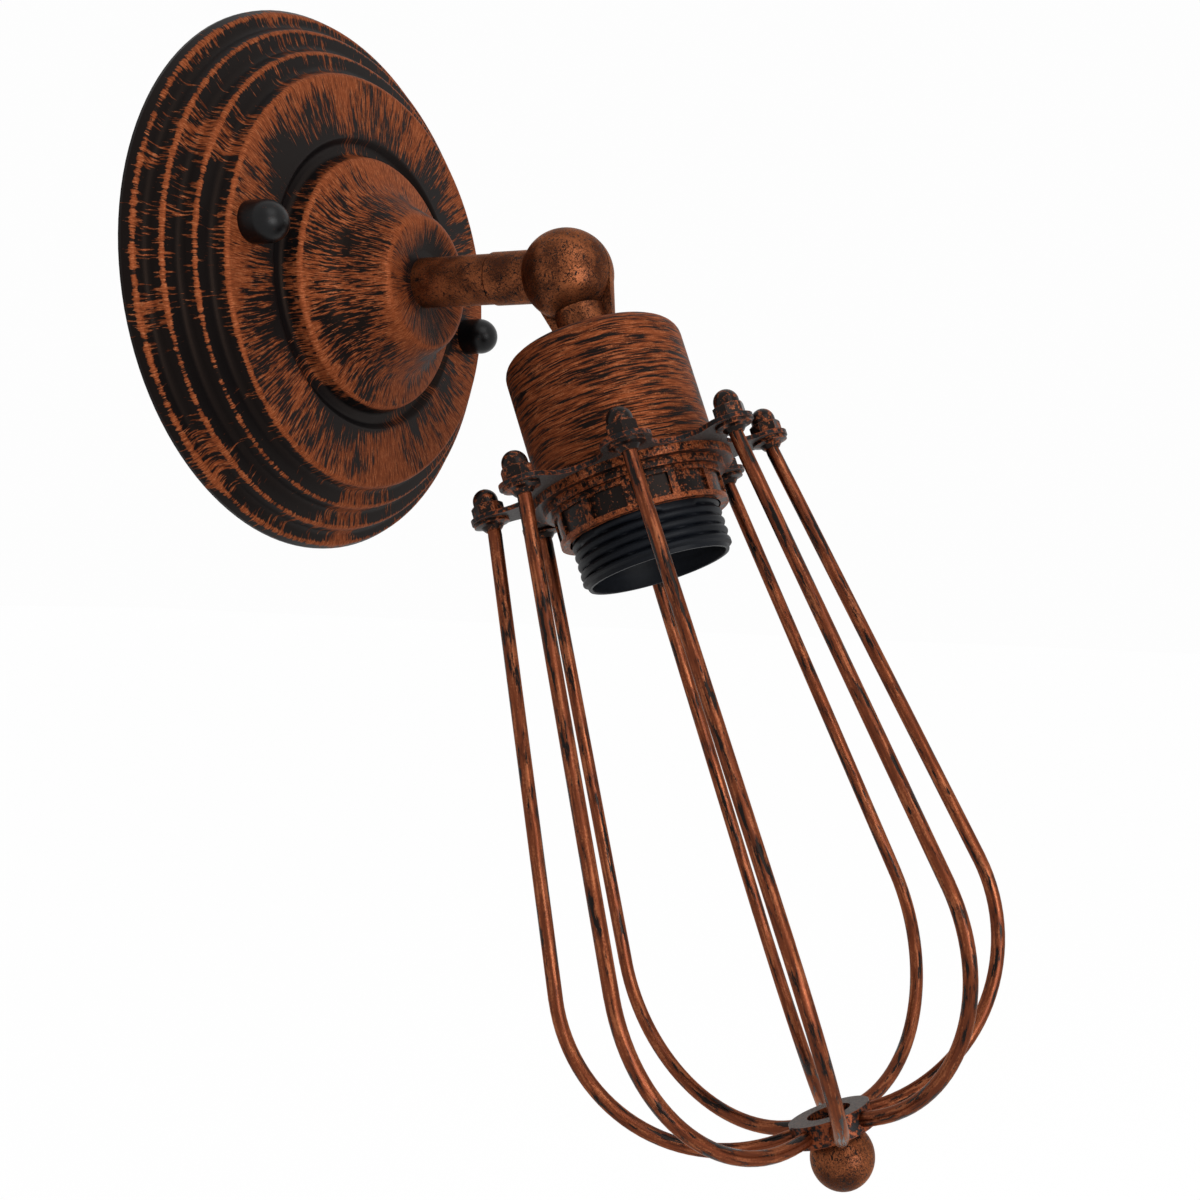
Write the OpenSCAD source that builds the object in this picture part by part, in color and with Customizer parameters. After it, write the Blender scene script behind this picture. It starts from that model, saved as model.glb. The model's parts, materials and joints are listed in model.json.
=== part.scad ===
// Cage wall light: a stepped round wall plate carries a short arm with a split ball knuckle.
// The knuckle tilts a cup with a screw lampholder, and a wire cage is clamped on by a screwed ring.
// Frame: +Z up, the wall is the plane Y = 0 and the light stands out along -Y.
// The origin is the centre of the wall plate's back. All sizes are in millimetres.

/* [Wall plate] */
// Outside diameter of the wall plate
plate_d = 145; // [142:1:150]
// Thickness of the plate's sheet
plate_t = 1; // [0.8:0.1:1.2]
// Radius of the raised disc's edge
disc_r = 55.3; // [54.5:0.1:56]
// How far the raised disc stands out from the wall
disc_out = 16.2; // [15:0.1:17]
// How far the centre boss stands out from the wall
boss_out = 35; // [34:0.5:36]
// Radius of the centre boss at its rim
boss_r = 17.6; // [16.5:0.1:18.5]
// Distance of each fixing stud from the centre
stud_r = 47.5; // [46:0.5:49]
// Angle of the line through the studs, from horizontal
stud_angle = 5.9; // [0:0.1:12]

/* [Arm and knuckle] */
// Distance of the knuckle's pivot from the wall
pivot_out = 77.2; // [76:0.1:84]
// Diameter of the arm's plain tube
sleeve_d = 13.3; // [12.5:0.1:14]
// Length of the arm's plain tube
sleeve_len = 22; // [20:0.5:24]
// Diameter of the knuckle's stem
stem_d = 14; // [13:0.1:14.5]
// Radius of the split ball
ball_r = 12; // [11.4:0.1:12.4]
// Angle of the head's axis from straight down, away from the wall
head_tilt = 21.2; // [0:0.1:60]

/* [Cup and lampholder] */
// Radius of the metal cup
cup_r = 23.2; // [23:0.1:25]
// Height of the metal cup
cup_h = 35.9; // [35:0.1:38]
// Outer radius of the lampholder's thread
skirt_r = 19.4; // [19.2:0.1:19.6]
// Inner radius of the brass screw shell
shell_r = 13.5; // [13.3:0.1:13.6]

/* [Cage] */
// Diameter of a cage wire
wire_d = 3.5; // [3:0.1:3.8]
// Radius of the circle on which the wires are fastened
wire_circle_r = 36.6; // [36:0.1:38]
// Angle of the first wire round the head's axis
wire_phase = 19.4; // [0:0.1:44]
// Radius of the bend that turns the wires in below the lamp
belly_r = 41.2; // [39:0.1:42]
// Distance of that bend's centre from the head's axis
belly_in = 12.9; // [12:0.1:14]
// Distance of that bend's centre from the pivot
belly_along = 179; // [175:0.5:185]
// Radius of the hub at the cage's end
hub_r = 10; // [9.5:0.1:10.5]
// Radius of the ball at the cage's end
finial_r = 7.7; // [7.2:0.1:8]

/* [Hidden] */
$fn = 64;

big = 200;
plate_r = plate_d / 2;

// Finish colours
copper = [0.62, 0.31, 0.18];
dark_copper = [0.42, 0.22, 0.14];
black = [0.11, 0.11, 0.12];
zinc = [0.72, 0.72, 0.70];
brass = [0.80, 0.64, 0.30];
ceramic = [0.90, 0.88, 0.84];

// Stepped ridges between the plate's rim and its raised disc
rim_lip = 0.9;
rim_inset = 1.1;
rim_step_out = 3.1;
ridge_count = 3;
ridge_run = 5.8;
ridge_foot = 1;
ridge_foot_rise = 0.4;
crest_round = 1.3;
foot_round = 1.9;
ridge_rise = (disc_out - rim_step_out) / ridge_count;

// Groove and bell in the middle of the plate
groove_outer_r = 39.3;
groove_inner_r = 34.7;
groove_out = disc_out - 1.7;
bell_r = 33.7;
bell_out = disc_out + 3.3;
bell_waist_r = boss_r + 7.5;
bell_waist_out = bell_out + 2.4;
bell_sweep = 9;
boss_round = 3;
seat_r = 8.6;
seat_out = boss_out - 1.6;
arm_hole_r = 5.25;
stud_hole_r = 2.5;

// Metric fasteners: thread radius, clearance between threads drawn as plain cylinders
m4_r = 2;
m10_r = 5;
thread_gap = 0.05;
m4_flats = 7;
m10_flats = 14;
nipple_bore_r = 3.8;

// Bracket behind the plate
bar_len = 112;
bar_w = 18;
bar_t = 1.6;
bar_flat = 31;
bar_joggle = 4;
bar_lift = 3.6;
wall_hole_r = 2.4;
wall_hole_pcd = 50;
earth_at = [38.2, -4];
bar_hole_r = m10_r + 1;
stud_head_r = 3.4;
stud_head_h = 2.4;
stud_tip_out = disc_out + 5.5;
knob_r = 5.25;
knob_len = 9.8;
knob_bore = 6.4;

// Arm
sleeve_out = seat_out;
stem_out = sleeve_out + sleeve_len;
nipple_start = seat_out - plate_t - 8;
nipple_end = stem_out + 9;
washer_t = 0.9;

// Knuckle
split_gap = 0.4;
run_gap = 0.35;
blend_gap = 1;
pin_gap = 0.05;
cavity_r = 8.8;
screw_boss_r = 4;
neck_r = 6.6;
neck_len = 20.2;
blend_top = 4;
blend_r = 11.2;
blend_end = 18.6;
blend_end_r = 7.4;
stalk_chamfer = 0.5;
lead_hole_r = 3.4;
stem_thread_depth = nipple_end - stem_out + 0.4;
neck_thread_depth = 6;
screw_seat = 7.6;
screw_head_r = 3.5;
screw_head_h = 2.2;
screw_recess_r = 4.4;
screw_pad_r = 5.6;
screw_pad_t = 2;
screw_reach = 6.2;
screw_bore = 6.8;
spring_washer_t = 0.8;
friction_washer_t = 0.3;

// Cup and lampholder, measured along the head's axis from the pivot
cup_top = neck_len;
cup_bottom = cup_top + cup_h;
cup_t = 1;
cup_round = 4.4;
collar_top = cup_top + cup_t + 3.2;
cap_r = 21;
cap_t = 1.8;
cap_shoulder = collar_top + 4.4;
cap_bottom = 47.2;
collar_r = 8.2;
skirt_neck_r = cap_r - cap_t - 0.05;
skirt_top = 39.4;
skirt_thread_top = 48;
mouth = 81.6;
mouth_wall = 1;
mouth_rim_r = skirt_r - 1;
block_r = 16.2;
block_top = 41.2;
block_bottom = 47.4;
shell_t = 0.55;
shell_thread_top = 52.8;
shell_base_r = shell_r - 0.9;
shell_end = 67;
shell_hole_r = 10;
flare_r = mouth_rim_r - mouth_wall;

// Lamp contact: a strip that pivots at its rivet
leaf_t = 0.5;
leaf_w = 5;
rivet_at = 7;
leaf_gap = 0.35;
leaf_slope = 22;
rivet_r = 1;
rivet_head_r = 1.9;
rivet_head_h = 0.7;
clamp_at = 8.5;
clamp_size = [7, 5.4, 4.6];

// Cage plate and the ring that clamps it
cage_plate_top = cup_bottom;
cage_plate_t = 1.2;
lobe_at = wire_circle_r - 1.3;
lobe_r = 6.2;
scallop_min_r = 27.2;
ring_top = cage_plate_top + cage_plate_t;
ring_flange_r = 26.3;
ring_flange_h = 2.1;
ring_waist_r = 23.6;
ring_waist_h = 1.9;
ring_body_r = 21.9;
ring_bottom = 69.6;
ring_bore_r = skirt_r + 0.35;
grip_count = 12;
grip_depth = 0.8;
grip_rib = 5;
grip_band = 1.3;
grip_phase = 11;

// Wires
wire_count = 8;
wire_r = wire_d / 2;
wire_hole_r = wire_r + 0.15;
stub_top = cage_plate_top - 4.4;
stub_end = 59.8;
wire_bend_r = 8;
bend_thinning = 0.03;
bend_lap = 0.3;
collar_flange_r = 4.5;
collar_flange_t = 0.9;
collar_cone_r = 3;
nut_hex_h = 3.2;
nut_h = 7.3;
nut_dome_r = 3.15;
nut_bore = 5;

// Hub and finial
hub_h = 5.3;
hub_mid = belly_along + belly_r;
hub_bore_r = 5.4;
finial_at = hub_mid + 7.9;
spigot_len = 1.9;

// --- Helpers -------------------------------------------------------------

function unit(v) = v / norm(v);
function left_of(v) = [-v[1], v[0]];
function flat(v) = [v[0], v[1]];

// Points of the arc that rounds corner b between neighbours a and c
function corner(a, b, c, rad, steps = 7) =
    rad == 0 ? [b] :
    let (
        u = unit(a - b),
        w = unit(c - b),
        half = acos(u * w) / 2,
        centre = b + unit(u + w) * rad / sin(half),
        from = b + u * rad / tan(half) - centre,
        first = atan2(from[1], from[0]),
        sweep = sign(cross(b - a, c - b)) * (180 - 2 * half)
    )
    [for (i = [0:steps]) centre + rad * [cos(first + sweep * i / steps), sin(first + sweep * i / steps)]];

// A path of [x, y, corner radius] turned into plain points
function rounded(path) = [
    for (i = [0:len(path) - 1])
        each i == 0 || i == len(path) - 1
            ? [flat(path[i])]
            : corner(flat(path[i - 1]), flat(path[i]), flat(path[i + 1]), path[i][2])
];

// The same path moved to its left by t, with its corner radii changed to match
function beside(path, t) = [
    for (i = [0:len(path) - 1])
        let (
            here = flat(path[i]),
            before = i == 0 ? undef : unit(here - flat(path[i - 1])),
            after = i == len(path) - 1 ? undef : unit(flat(path[i + 1]) - here),
            d1 = is_undef(before) ? after : before,
            d2 = is_undef(after) ? before : after,
            n = (left_of(d1) + left_of(d2)) / (1 + d1 * d2),
            rad = max(0, path[i][2] - t * sign(cross(d1, d2)))
        )
        [here[0] + n[0] * t, here[1] + n[1] * t, rad]
];

// Sheet of thickness t turned from a path, with the sheet's other face on the path's left
module turned_sheet(path, t) {
    other = rounded(beside(path, t));
    rotate_extrude()
        intersection() {
            polygon(concat(rounded(path), [for (i = [len(other) - 1:-1:0]) other[i]]));
            square([big, big]);
        }
}

module ring(outer, inner, from, to) {
    translate([0, 0, from])
        difference() {
            cylinder(r = outer, h = to - from);
            translate([0, 0, -1])
                cylinder(r = inner, h = to - from + 2);
        }
}

module hex_nut(flats, bore_r, h) {
    difference() {
        intersection() {
            cylinder(r = flats / sqrt(3), h = h, $fn = 6);
            nut_chamfer(flats, h);
        }
        translate([0, 0, -1])
            cylinder(r = bore_r, h = h + 2);
    }
}

// Turned envelope that takes the sharp corners off a nut
module nut_chamfer(flats, h) {
    tip = flats / sqrt(3);
    cut = tip - flats / 2;
    rotate_extrude()
        polygon([
            [0, 0], [tip - cut, 0], [tip + 0.05, cut * 0.6],
            [tip + 0.05, h - cut * 0.6], [tip - cut, h], [0, h]
        ]);
}

// Parts along the arm: local +Z leaves the wall, local +Y is up
module from_wall() {
    rotate([90, 0, 0])
        children();
}

// Parts along the head: local +Z runs from the pivot to the cage's end
module along_head() {
    translate([0, -pivot_out, 0])
        rotate([180 - head_tilt, 0, 0])
            children();
}

module at_studs() {
    for (side = [-1, 1])
        rotate([0, 0, -stud_angle])
            translate([side * stud_r, 0, 0])
                children();
}

module at_wires() {
    for (i = [0:wire_count - 1])
        rotate([0, 0, wire_phase + i * 360 / wire_count])
            translate([wire_circle_r, 0, 0])
                children();
}

// --- Wall plate and its fixings -------------------------------------------

function ridge_r(i) = disc_r + ridge_run * (ridge_count - i);
function ridge_out(i) = rim_step_out + ridge_rise * i;

plate_path = concat(
    [
        [plate_r, 0, 0],
        [plate_r, rim_lip, 0.5],
        [plate_r - rim_inset, rim_step_out, crest_round]
    ],
    [
        for (i = [1:ridge_count])
            each [
                [ridge_r(i) + ridge_foot, ridge_out(i - 1) + ridge_foot_rise, foot_round],
                [ridge_r(i), ridge_out(i), crest_round]
            ]
    ],
    [
        [groove_outer_r, disc_out, 1.2],
        [groove_outer_r - 1.8, groove_out, 1.4],
        [groove_inner_r, groove_out, 1.6],
        [bell_r, bell_out, 1.6],
        [bell_waist_r, bell_waist_out, bell_sweep],
        [boss_r, boss_out, boss_round],
        [seat_r, seat_out, 0.8],
        [arm_hole_r, seat_out, 0]
    ]
);

module wall_plate() {
    color(copper)
        from_wall()
            difference() {
                turned_sheet(plate_path, plate_t);
                at_studs()
                    cylinder(r = stud_hole_r, h = boss_out);
            }
}

// Half of the bar's bent profile, from its middle to its end
bar_profile = [
    [0, 0, 0],
    [bar_flat, 0, 0.8],
    [bar_flat + bar_joggle, bar_lift, 0.8],
    [bar_len / 2, bar_lift, 0]
];

module bar_half() {
    upper = rounded(beside(bar_profile, bar_t));
    translate([0, bar_w / 2, 0])
        rotate([90, 0, 0])
            linear_extrude(height = bar_w)
                polygon(concat(rounded(bar_profile), [for (i = [len(upper) - 1:-1:0]) upper[i]]));
}

module wall_bracket() {
    color(zinc)
        from_wall()
            rotate([0, 0, -stud_angle])
                difference() {
                    intersection() {
                        union() {
                            bar_half();
                            mirror([1, 0, 0])
                                bar_half();
                        }
                        union() {
                            for (side = [-1, 1])
                                translate([side * (bar_len - bar_w) / 2, 0, -1])
                                    cylinder(r = bar_w / 2, h = bar_lift + bar_t + 2);
                            translate([-(bar_len - bar_w) / 2, -bar_w / 2, -1])
                                cube([bar_len - bar_w, bar_w, bar_lift + bar_t + 2]);
                        }
                    }
                    translate([0, 0, -1])
                        cylinder(r = bar_hole_r, h = bar_t + 2);
                    for (side = [-1, 1]) {
                        translate([side * wall_hole_pcd / 2, 0, -1])
                            cylinder(r = wall_hole_r, h = bar_t + 2);
                        translate([side * stud_r, 0, bar_lift - 1])
                            cylinder(r = m4_r + thread_gap, h = bar_t + 2);
                    }
                    translate([earth_at[0], earth_at[1], bar_lift - 1])
                        cylinder(r = m4_r + thread_gap, h = bar_t + 2);
                }
}

module bracket_studs() {
    color(zinc)
        from_wall()
            at_studs() {
                translate([0, 0, bar_lift - stud_head_h])
                    cylinder(r = stud_head_r, h = stud_head_h);
                translate([0, 0, bar_lift - 0.5])
                    cylinder(r = m4_r, h = stud_tip_out - bar_lift + 0.5);
            }
}

module stud_locknuts() {
    color(zinc)
        from_wall()
            at_studs()
                translate([0, 0, bar_lift + bar_t])
                    hex_nut(m4_flats, m4_r + thread_gap, 3);
}

// Black cap nut: a cylinder that ends in a full dome
module stud_knobs() {
    color(black)
        from_wall()
            at_studs()
                translate([0, 0, disc_out])
                    difference() {
                        union() {
                            cylinder(r = knob_r, h = knob_len - knob_r);
                            translate([0, 0, knob_len - knob_r])
                                intersection() {
                                    sphere(r = knob_r);
                                    cylinder(r = knob_r + 1, h = knob_r + 1);
                                }
                        }
                        translate([0, 0, -1])
                            cylinder(r = m4_r + thread_gap, h = knob_bore + 1);
                    }
}

module at_earth() {
    rotate([0, 0, -stud_angle])
        translate([earth_at[0], earth_at[1], bar_lift + bar_t])
            children();
}

module earth_screw() {
    color(brass)
        from_wall()
            at_earth() {
                translate([0, 0, washer_t])
                    difference() {
                        cylinder(r = 3.4, h = 2.2);
                        translate([-4, -0.5, 1.2])
                            cube([8, 1, 2]);
                    }
                translate([0, 0, -bar_t - 1.2])
                    cylinder(r = m4_r, h = bar_t + 1.2 + washer_t + 0.2);
            }
}

module earth_washer() {
    color(brass)
        from_wall()
            at_earth()
                ring(4, m4_r + thread_gap, 0, washer_t);
}

// --- Arm --------------------------------------------------------------------

module arm_nipple() {
    color(zinc)
        from_wall()
            ring(m10_r - thread_gap, nipple_bore_r, nipple_start, nipple_end);
}

module arm_lock_washer() {
    color(zinc)
        from_wall()
            ring(8.3, m10_r, seat_out - plate_t - washer_t, seat_out - plate_t);
}

module arm_locknut() {
    color(zinc)
        from_wall()
            translate([0, 0, seat_out - plate_t - washer_t - 4])
                hex_nut(m10_flats, m10_r, 4);
}

module arm_sleeve() {
    color(dark_copper)
        from_wall()
            ring(sleeve_d / 2, m10_r + 0.1, sleeve_out, stem_out);
}

// --- Knuckle ------------------------------------------------------------------

// All space on the far side of the plane x = edge
module beyond(edge) {
    translate([edge, -big / 2, -big / 2])
        cube([big, big, big]);
}

// The clamp screw's line, out of the split face and through the half
module outward() {
    rotate([0, -90, 0])
        children();
}

// Half a ball on the -X side of the split, with a full round stalk along +Z that keeps
// the given gap from the other half. Children join the half ball before the split is cut.
module knuckle_half(stalk_r, stalk_len, thread_depth, gap) {
    difference() {
        union() {
            difference() {
                union() {
                    sphere(r = ball_r);
                    children();
                }
                beyond(-split_gap / 2);
            }
            difference() {
                union() {
                    cylinder(r = stalk_r, h = stalk_len - stalk_chamfer);
                    translate([0, 0, stalk_len - stalk_chamfer])
                        cylinder(r1 = stalk_r, r2 = stalk_r - stalk_chamfer, h = stalk_chamfer);
                }
                intersection() {
                    sphere(r = ball_r + gap);
                    beyond(-split_gap / 2);
                }
            }
        }
        // Hollow for the leads, round the screw's boss
        difference() {
            sphere(r = cavity_r);
            outward() {
                translate([0, 0, -big / 2])
                    cylinder(r = screw_boss_r, h = big);
                translate([0, 0, screw_seat - screw_pad_t])
                    cylinder(r = screw_pad_r, h = ball_r);
            }
        }
        translate([0, 0, screw_boss_r + 1.4])
            cylinder(r = lead_hole_r, h = stalk_len);
        translate([0, 0, stalk_len - thread_depth])
            cylinder(r = m10_r, h = thread_depth + 1);
    }
}

module knuckle_arm_half() {
    color(dark_copper)
        translate([0, -pivot_out, 0])
            rotate([-90, 0, 0])
                difference() {
                    knuckle_half(stem_d / 2, pivot_out - stem_out, stem_thread_depth, blend_gap);
                    outward()
                        cylinder(r = m4_r + pin_gap, h = screw_bore);
                }
}

module knuckle_head_half() {
    color(dark_copper)
        along_head()
            rotate([0, 0, 180])
                difference() {
                    knuckle_half(neck_r, neck_len, neck_thread_depth, run_gap)
                        translate([0, 0, blend_top])
                            cylinder(r1 = blend_r, r2 = blend_end_r, h = blend_end - blend_top);
                    outward() {
                        cylinder(r = m4_r + pin_gap, h = ball_r);
                        translate([0, 0, screw_seat])
                            cylinder(r = screw_recess_r, h = ball_r);
                    }
                }
}

module on_hinge() {
    translate([0, -pivot_out, 0])
        rotate([0, 90, 0])
            children();
}

module knuckle_screw() {
    head_at = screw_seat + spring_washer_t + 0.1;
    color(zinc)
        on_hinge()
            difference() {
                union() {
                    translate([0, 0, -screw_reach])
                        cylinder(r = m4_r, h = head_at + screw_reach);
                    translate([0, 0, head_at])
                        cylinder(r = screw_head_r, h = screw_head_h);
                }
                translate([-0.5, -big / 2, head_at + 1])
                    cube([1, big, screw_head_h]);
            }
}

module knuckle_spring_washer() {
    color(zinc)
        on_hinge()
            ring(screw_head_r + 0.3, m4_r + pin_gap, screw_seat + 0.1, screw_seat + 0.1 + spring_washer_t);
}

module knuckle_friction_washer() {
    color(brass)
        on_hinge()
            ring(cavity_r - 0.4, m4_r + pin_gap, -split_gap / 2, -split_gap / 2 + friction_washer_t);
}

// --- Cup and lampholder ---------------------------------------------------------

module holder_cup() {
    color(copper)
        along_head()
            turned_sheet([
                [cup_r, cup_bottom, 0],
                [cup_r, cup_top, cup_round],
                [m10_r + 0.2, cup_top, 0]
            ], -cup_t);
}

module holder_nipple() {
    color(zinc)
        along_head()
            ring(m10_r - thread_gap, nipple_bore_r, neck_len - neck_thread_depth + 0.4, collar_top + 4);
}

module holder_locknut() {
    color(zinc)
        along_head()
            translate([0, 0, cup_top + cup_t])
                hex_nut(m10_flats, m10_r, 3);
}

// Moulded upper half of the lampholder, inside the cup
module lampholder_cap() {
    color(black)
        along_head() {
            turned_sheet([
                [cap_r, cap_bottom, 0],
                [cap_r, cap_shoulder, 3.5],
                [collar_r - 1, cap_shoulder - 1.5, 0]
            ], -cap_t);
            ring(collar_r, m10_r, collar_top, cap_shoulder + 0.6);
        }
}

// Threaded skirt that shows below the ring
module lampholder_skirt() {
    color(black)
        along_head()
            rotate_extrude()
                polygon([
                    [skirt_neck_r, skirt_top],
                    [skirt_neck_r, skirt_thread_top],
                    [skirt_r, skirt_thread_top + 0.6],
                    [skirt_r, mouth - 1.4],
                    [mouth_rim_r, mouth - 0.8],
                    [mouth_rim_r, mouth],
                    [flare_r, mouth],
                    [flare_r - 0.5, shell_end + 6],
                    [shell_r + shell_t + 0.3, shell_end + 0.6],
                    [shell_r + shell_t + 0.3, block_bottom],
                    [block_r + 0.1, block_bottom],
                    [block_r + 0.1, skirt_top]
                ]);
}

module contact_block() {
    color(ceramic)
        along_head()
            difference() {
                translate([0, 0, block_top])
                    cylinder(r = block_r, h = block_bottom - block_top);
                translate([0, rivet_at, block_top - 1])
                    cylinder(r = rivet_r + thread_gap, h = block_bottom - block_top + 2);
            }
}

// Brass cup whose wall carries the lamp's thread beyond a narrower base
module screw_shell() {
    shoulder = shell_thread_top - (shell_r - shell_base_r) * 0.7;
    color(brass)
        along_head()
            rotate_extrude()
                polygon([
                    [shell_hole_r, block_bottom],
                    [shell_base_r + shell_t, block_bottom],
                    [shell_base_r + shell_t, shoulder],
                    [shell_r + shell_t, shell_thread_top],
                    [shell_r + shell_t, shell_end],
                    [shell_r, shell_end],
                    [shell_r, shell_thread_top],
                    [shell_base_r, shoulder],
                    [shell_base_r, block_bottom + shell_t],
                    [shell_hole_r, block_bottom + shell_t]
                ]);
}

// Sprung strip: a flat tab under the rivet, then a slope up to the lamp's centre contact
module centre_contact() {
    tab = rivet_head_r + 0.4;
    run = (rivet_at - tab) / cos(leaf_slope);
    color(brass)
        along_head()
            translate([0, rivet_at, block_bottom + leaf_gap])
                difference() {
                    union() {
                        cylinder(r = leaf_w / 2, h = leaf_t);
                        translate([-leaf_w / 2, -tab, 0])
                            cube([leaf_w, tab, leaf_t]);
                        translate([0, -tab, 0])
                            rotate([-leaf_slope, 0, 0]) {
                                translate([-leaf_w / 2, -run, 0])
                                    cube([leaf_w, run, leaf_t]);
                                translate([0, -run, 0])
                                    cylinder(r = leaf_w / 2, h = leaf_t);
                            }
                    }
                    translate([0, 0, -1])
                        cylinder(r = rivet_r + 0.2, h = leaf_t + 2);
                }
}

module contact_rivet() {
    color(brass)
        along_head()
            translate([0, rivet_at, 0]) {
                translate([0, 0, block_top])
                    cylinder(r = rivet_r, h = block_bottom - block_top + leaf_gap + leaf_t + 0.8);
                translate([0, 0, block_top - rivet_head_h])
                    cylinder(r = rivet_head_r, h = rivet_head_h);
                translate([0, 0, block_bottom + leaf_gap + leaf_t + 0.3])
                    cylinder(r = rivet_head_r, h = rivet_head_h);
            }
}

module at_clamps() {
    for (side = [-1, 1])
        translate([side * clamp_at, -1, block_top - clamp_size[2]])
            children();
}

module terminal_clamps() {
    color(brass)
        along_head()
            at_clamps()
                difference() {
                    translate([-clamp_size[0] / 2, -clamp_size[1] / 2, 0])
                        cube(clamp_size);
                    translate([0, 0, -1])
                        cylinder(r = 1.5 + thread_gap, h = clamp_size[2]);
                    translate([0, -clamp_size[1], clamp_size[2] / 2])
                        rotate([-90, 0, 0])
                            cylinder(r = 1.1, h = 2 * clamp_size[1]);
                }
}

module terminal_screws() {
    color(zinc)
        along_head()
            at_clamps() {
                cylinder(r = 1.5, h = clamp_size[2] / 2 - 1.2);
                translate([0, 0, -1.4])
                    difference() {
                        cylinder(r = 2.4, h = 1.4);
                        translate([-3, -0.4, -1])
                            cube([6, 0.8, 1.7]);
                    }
            }
}

// --- Cage -------------------------------------------------------------------------

// Outline of the plate: a convex arc round each wire and a hollow scallop between two
half_step = 180 / wire_count;
lobe_x = lobe_at * cos(half_step);
lobe_y = lobe_at * sin(half_step);
scallop_at =
    (pow(lobe_x, 2) + pow(lobe_y, 2) - pow(scallop_min_r - lobe_r, 2))
    / (2 * (lobe_x - scallop_min_r + lobe_r));
scallop_r = scallop_at - scallop_min_r;
touch = atan2(lobe_y, scallop_at - lobe_x);

function arc(centre, rad, from, to, steps) = [
    for (i = [0:steps])
        let (a = from + (to - from) * i / steps)
        centre + rad * [cos(a), sin(a)]
];

function turned(p, a) = [p[0] * cos(a) - p[1] * sin(a), p[0] * sin(a) + p[1] * cos(a)];

lobe_half = touch + half_step;
plate_outline = [
    for (i = [0:wire_count - 1])
        let (a = wire_phase + i * 360 / wire_count)
        each concat(
            [for (p = arc([lobe_at, 0], lobe_r, -lobe_half, lobe_half, 14)) turned(p, a)],
            [
                for (p = arc([scallop_at, 0], scallop_r, 180 + touch, 180 - touch, 12))
                    turned(p, a + half_step)
            ]
        )
];

module cage_plate() {
    color(copper)
        along_head()
            translate([0, 0, cage_plate_top])
                difference() {
                    linear_extrude(height = cage_plate_t)
                        polygon(plate_outline);
                    translate([0, 0, -1])
                        cylinder(r = skirt_r + 0.6, h = cage_plate_t + 2);
                    at_wires()
                        translate([0, 0, -1])
                            cylinder(r = wire_hole_r, h = cage_plate_t + 2);
                }
}

module shade_ring() {
    waist_top = ring_top + ring_flange_h;
    body_top = waist_top + ring_waist_h;
    color(copper)
        along_head()
            difference() {
                union() {
                    translate([0, 0, ring_top])
                        cylinder(r = ring_flange_r, h = ring_flange_h);
                    translate([0, 0, waist_top])
                        cylinder(r = ring_waist_r, h = ring_waist_h);
                    translate([0, 0, body_top])
                        cylinder(r = ring_body_r, h = ring_bottom - body_top);
                }
                translate([0, 0, ring_top - 1])
                    cylinder(r = ring_bore_r, h = ring_bottom - ring_top + 2);
                for (i = [0:grip_count - 1])
                    rotate([0, 0, grip_phase + grip_rib / 2 + i * 360 / grip_count])
                        translate([0, 0, body_top + grip_band])
                            rotate_extrude(angle = 360 / grip_count - grip_rib)
                                translate([ring_body_r - grip_depth, 0])
                                    square([2, ring_bottom - body_top - 2 * grip_band]);
            }
}

// Geometry of one wire in the plane of its radius (x) and the head's axis (y)
bend_at = [wire_circle_r + wire_bend_r, stub_end];
belly_at = [belly_in, belly_along];
bend_to_belly = belly_at - bend_at;
// Both bends touch the straight between them, one on each side of it
wire_slope =
    asin((belly_r + wire_bend_r) / norm(bend_to_belly)) - atan2(-bend_to_belly[0], bend_to_belly[1]);
straight_len = sqrt(pow(norm(bend_to_belly), 2) - pow(belly_r + wire_bend_r, 2));

// Part of a bent round bar: centre and radius of the bend, and where it begins and ends.
// A bend's section is a little thinner than the straight bar that laps over its ends.
module bent_bar(centre, rad, from, to) {
    translate([centre[0], 0, centre[1]])
        rotate([90, 0, 0])
            rotate([0, 0, from])
                rotate_extrude(angle = to - from)
                    translate([rad, 0])
                        circle(r = wire_r - bend_thinning);
}

module cage_wire(i) {
    start = bend_at + wire_bend_r * [-cos(wire_slope), sin(wire_slope)];
    color(copper)
        along_head()
            rotate([0, 0, wire_phase + (i - 1) * 360 / wire_count])
                difference() {
                    union() {
                        translate([wire_circle_r, 0, stub_top])
                            cylinder(r = wire_r, h = stub_end - stub_top + bend_lap);
                        bent_bar(bend_at, wire_bend_r, 180 - wire_slope, 180);
                        translate([start[0], 0, start[1]])
                            rotate([0, wire_slope, 0])
                                translate([0, 0, -bend_lap])
                                    cylinder(r = wire_r, h = straight_len + 2 * bend_lap);
                        bent_bar(belly_at, belly_r, -wire_slope, 90);
                        translate([0, 0, hub_mid])
                            rotate([0, 90, 0])
                                cylinder(r = wire_r, h = belly_in + bend_lap);
                    }
                    translate([0, 0, hub_mid - hub_h])
                        cylinder(r = hub_r, h = 2 * hub_h);
                }
}

module cage_wire_1() { cage_wire(1); }
module cage_wire_2() { cage_wire(2); }
module cage_wire_3() { cage_wire(3); }
module cage_wire_4() { cage_wire(4); }
module cage_wire_5() { cage_wire(5); }
module cage_wire_6() { cage_wire(6); }
module cage_wire_7() { cage_wire(7); }
module cage_wire_8() { cage_wire(8); }

// Flared washer on each wire, under the plate
module wire_collars() {
    color(copper)
        along_head()
            at_wires()
                rotate_extrude()
                    polygon([
                        [wire_r + thread_gap, ring_top],
                        [collar_flange_r, ring_top],
                        [collar_flange_r, ring_top + collar_flange_t],
                        [collar_cone_r, ring_top + collar_flange_t + 0.4],
                        [wire_r + 0.35, stub_end - 0.1],
                        [wire_r + thread_gap, stub_end - 0.1]
                    ]);
}

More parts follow.
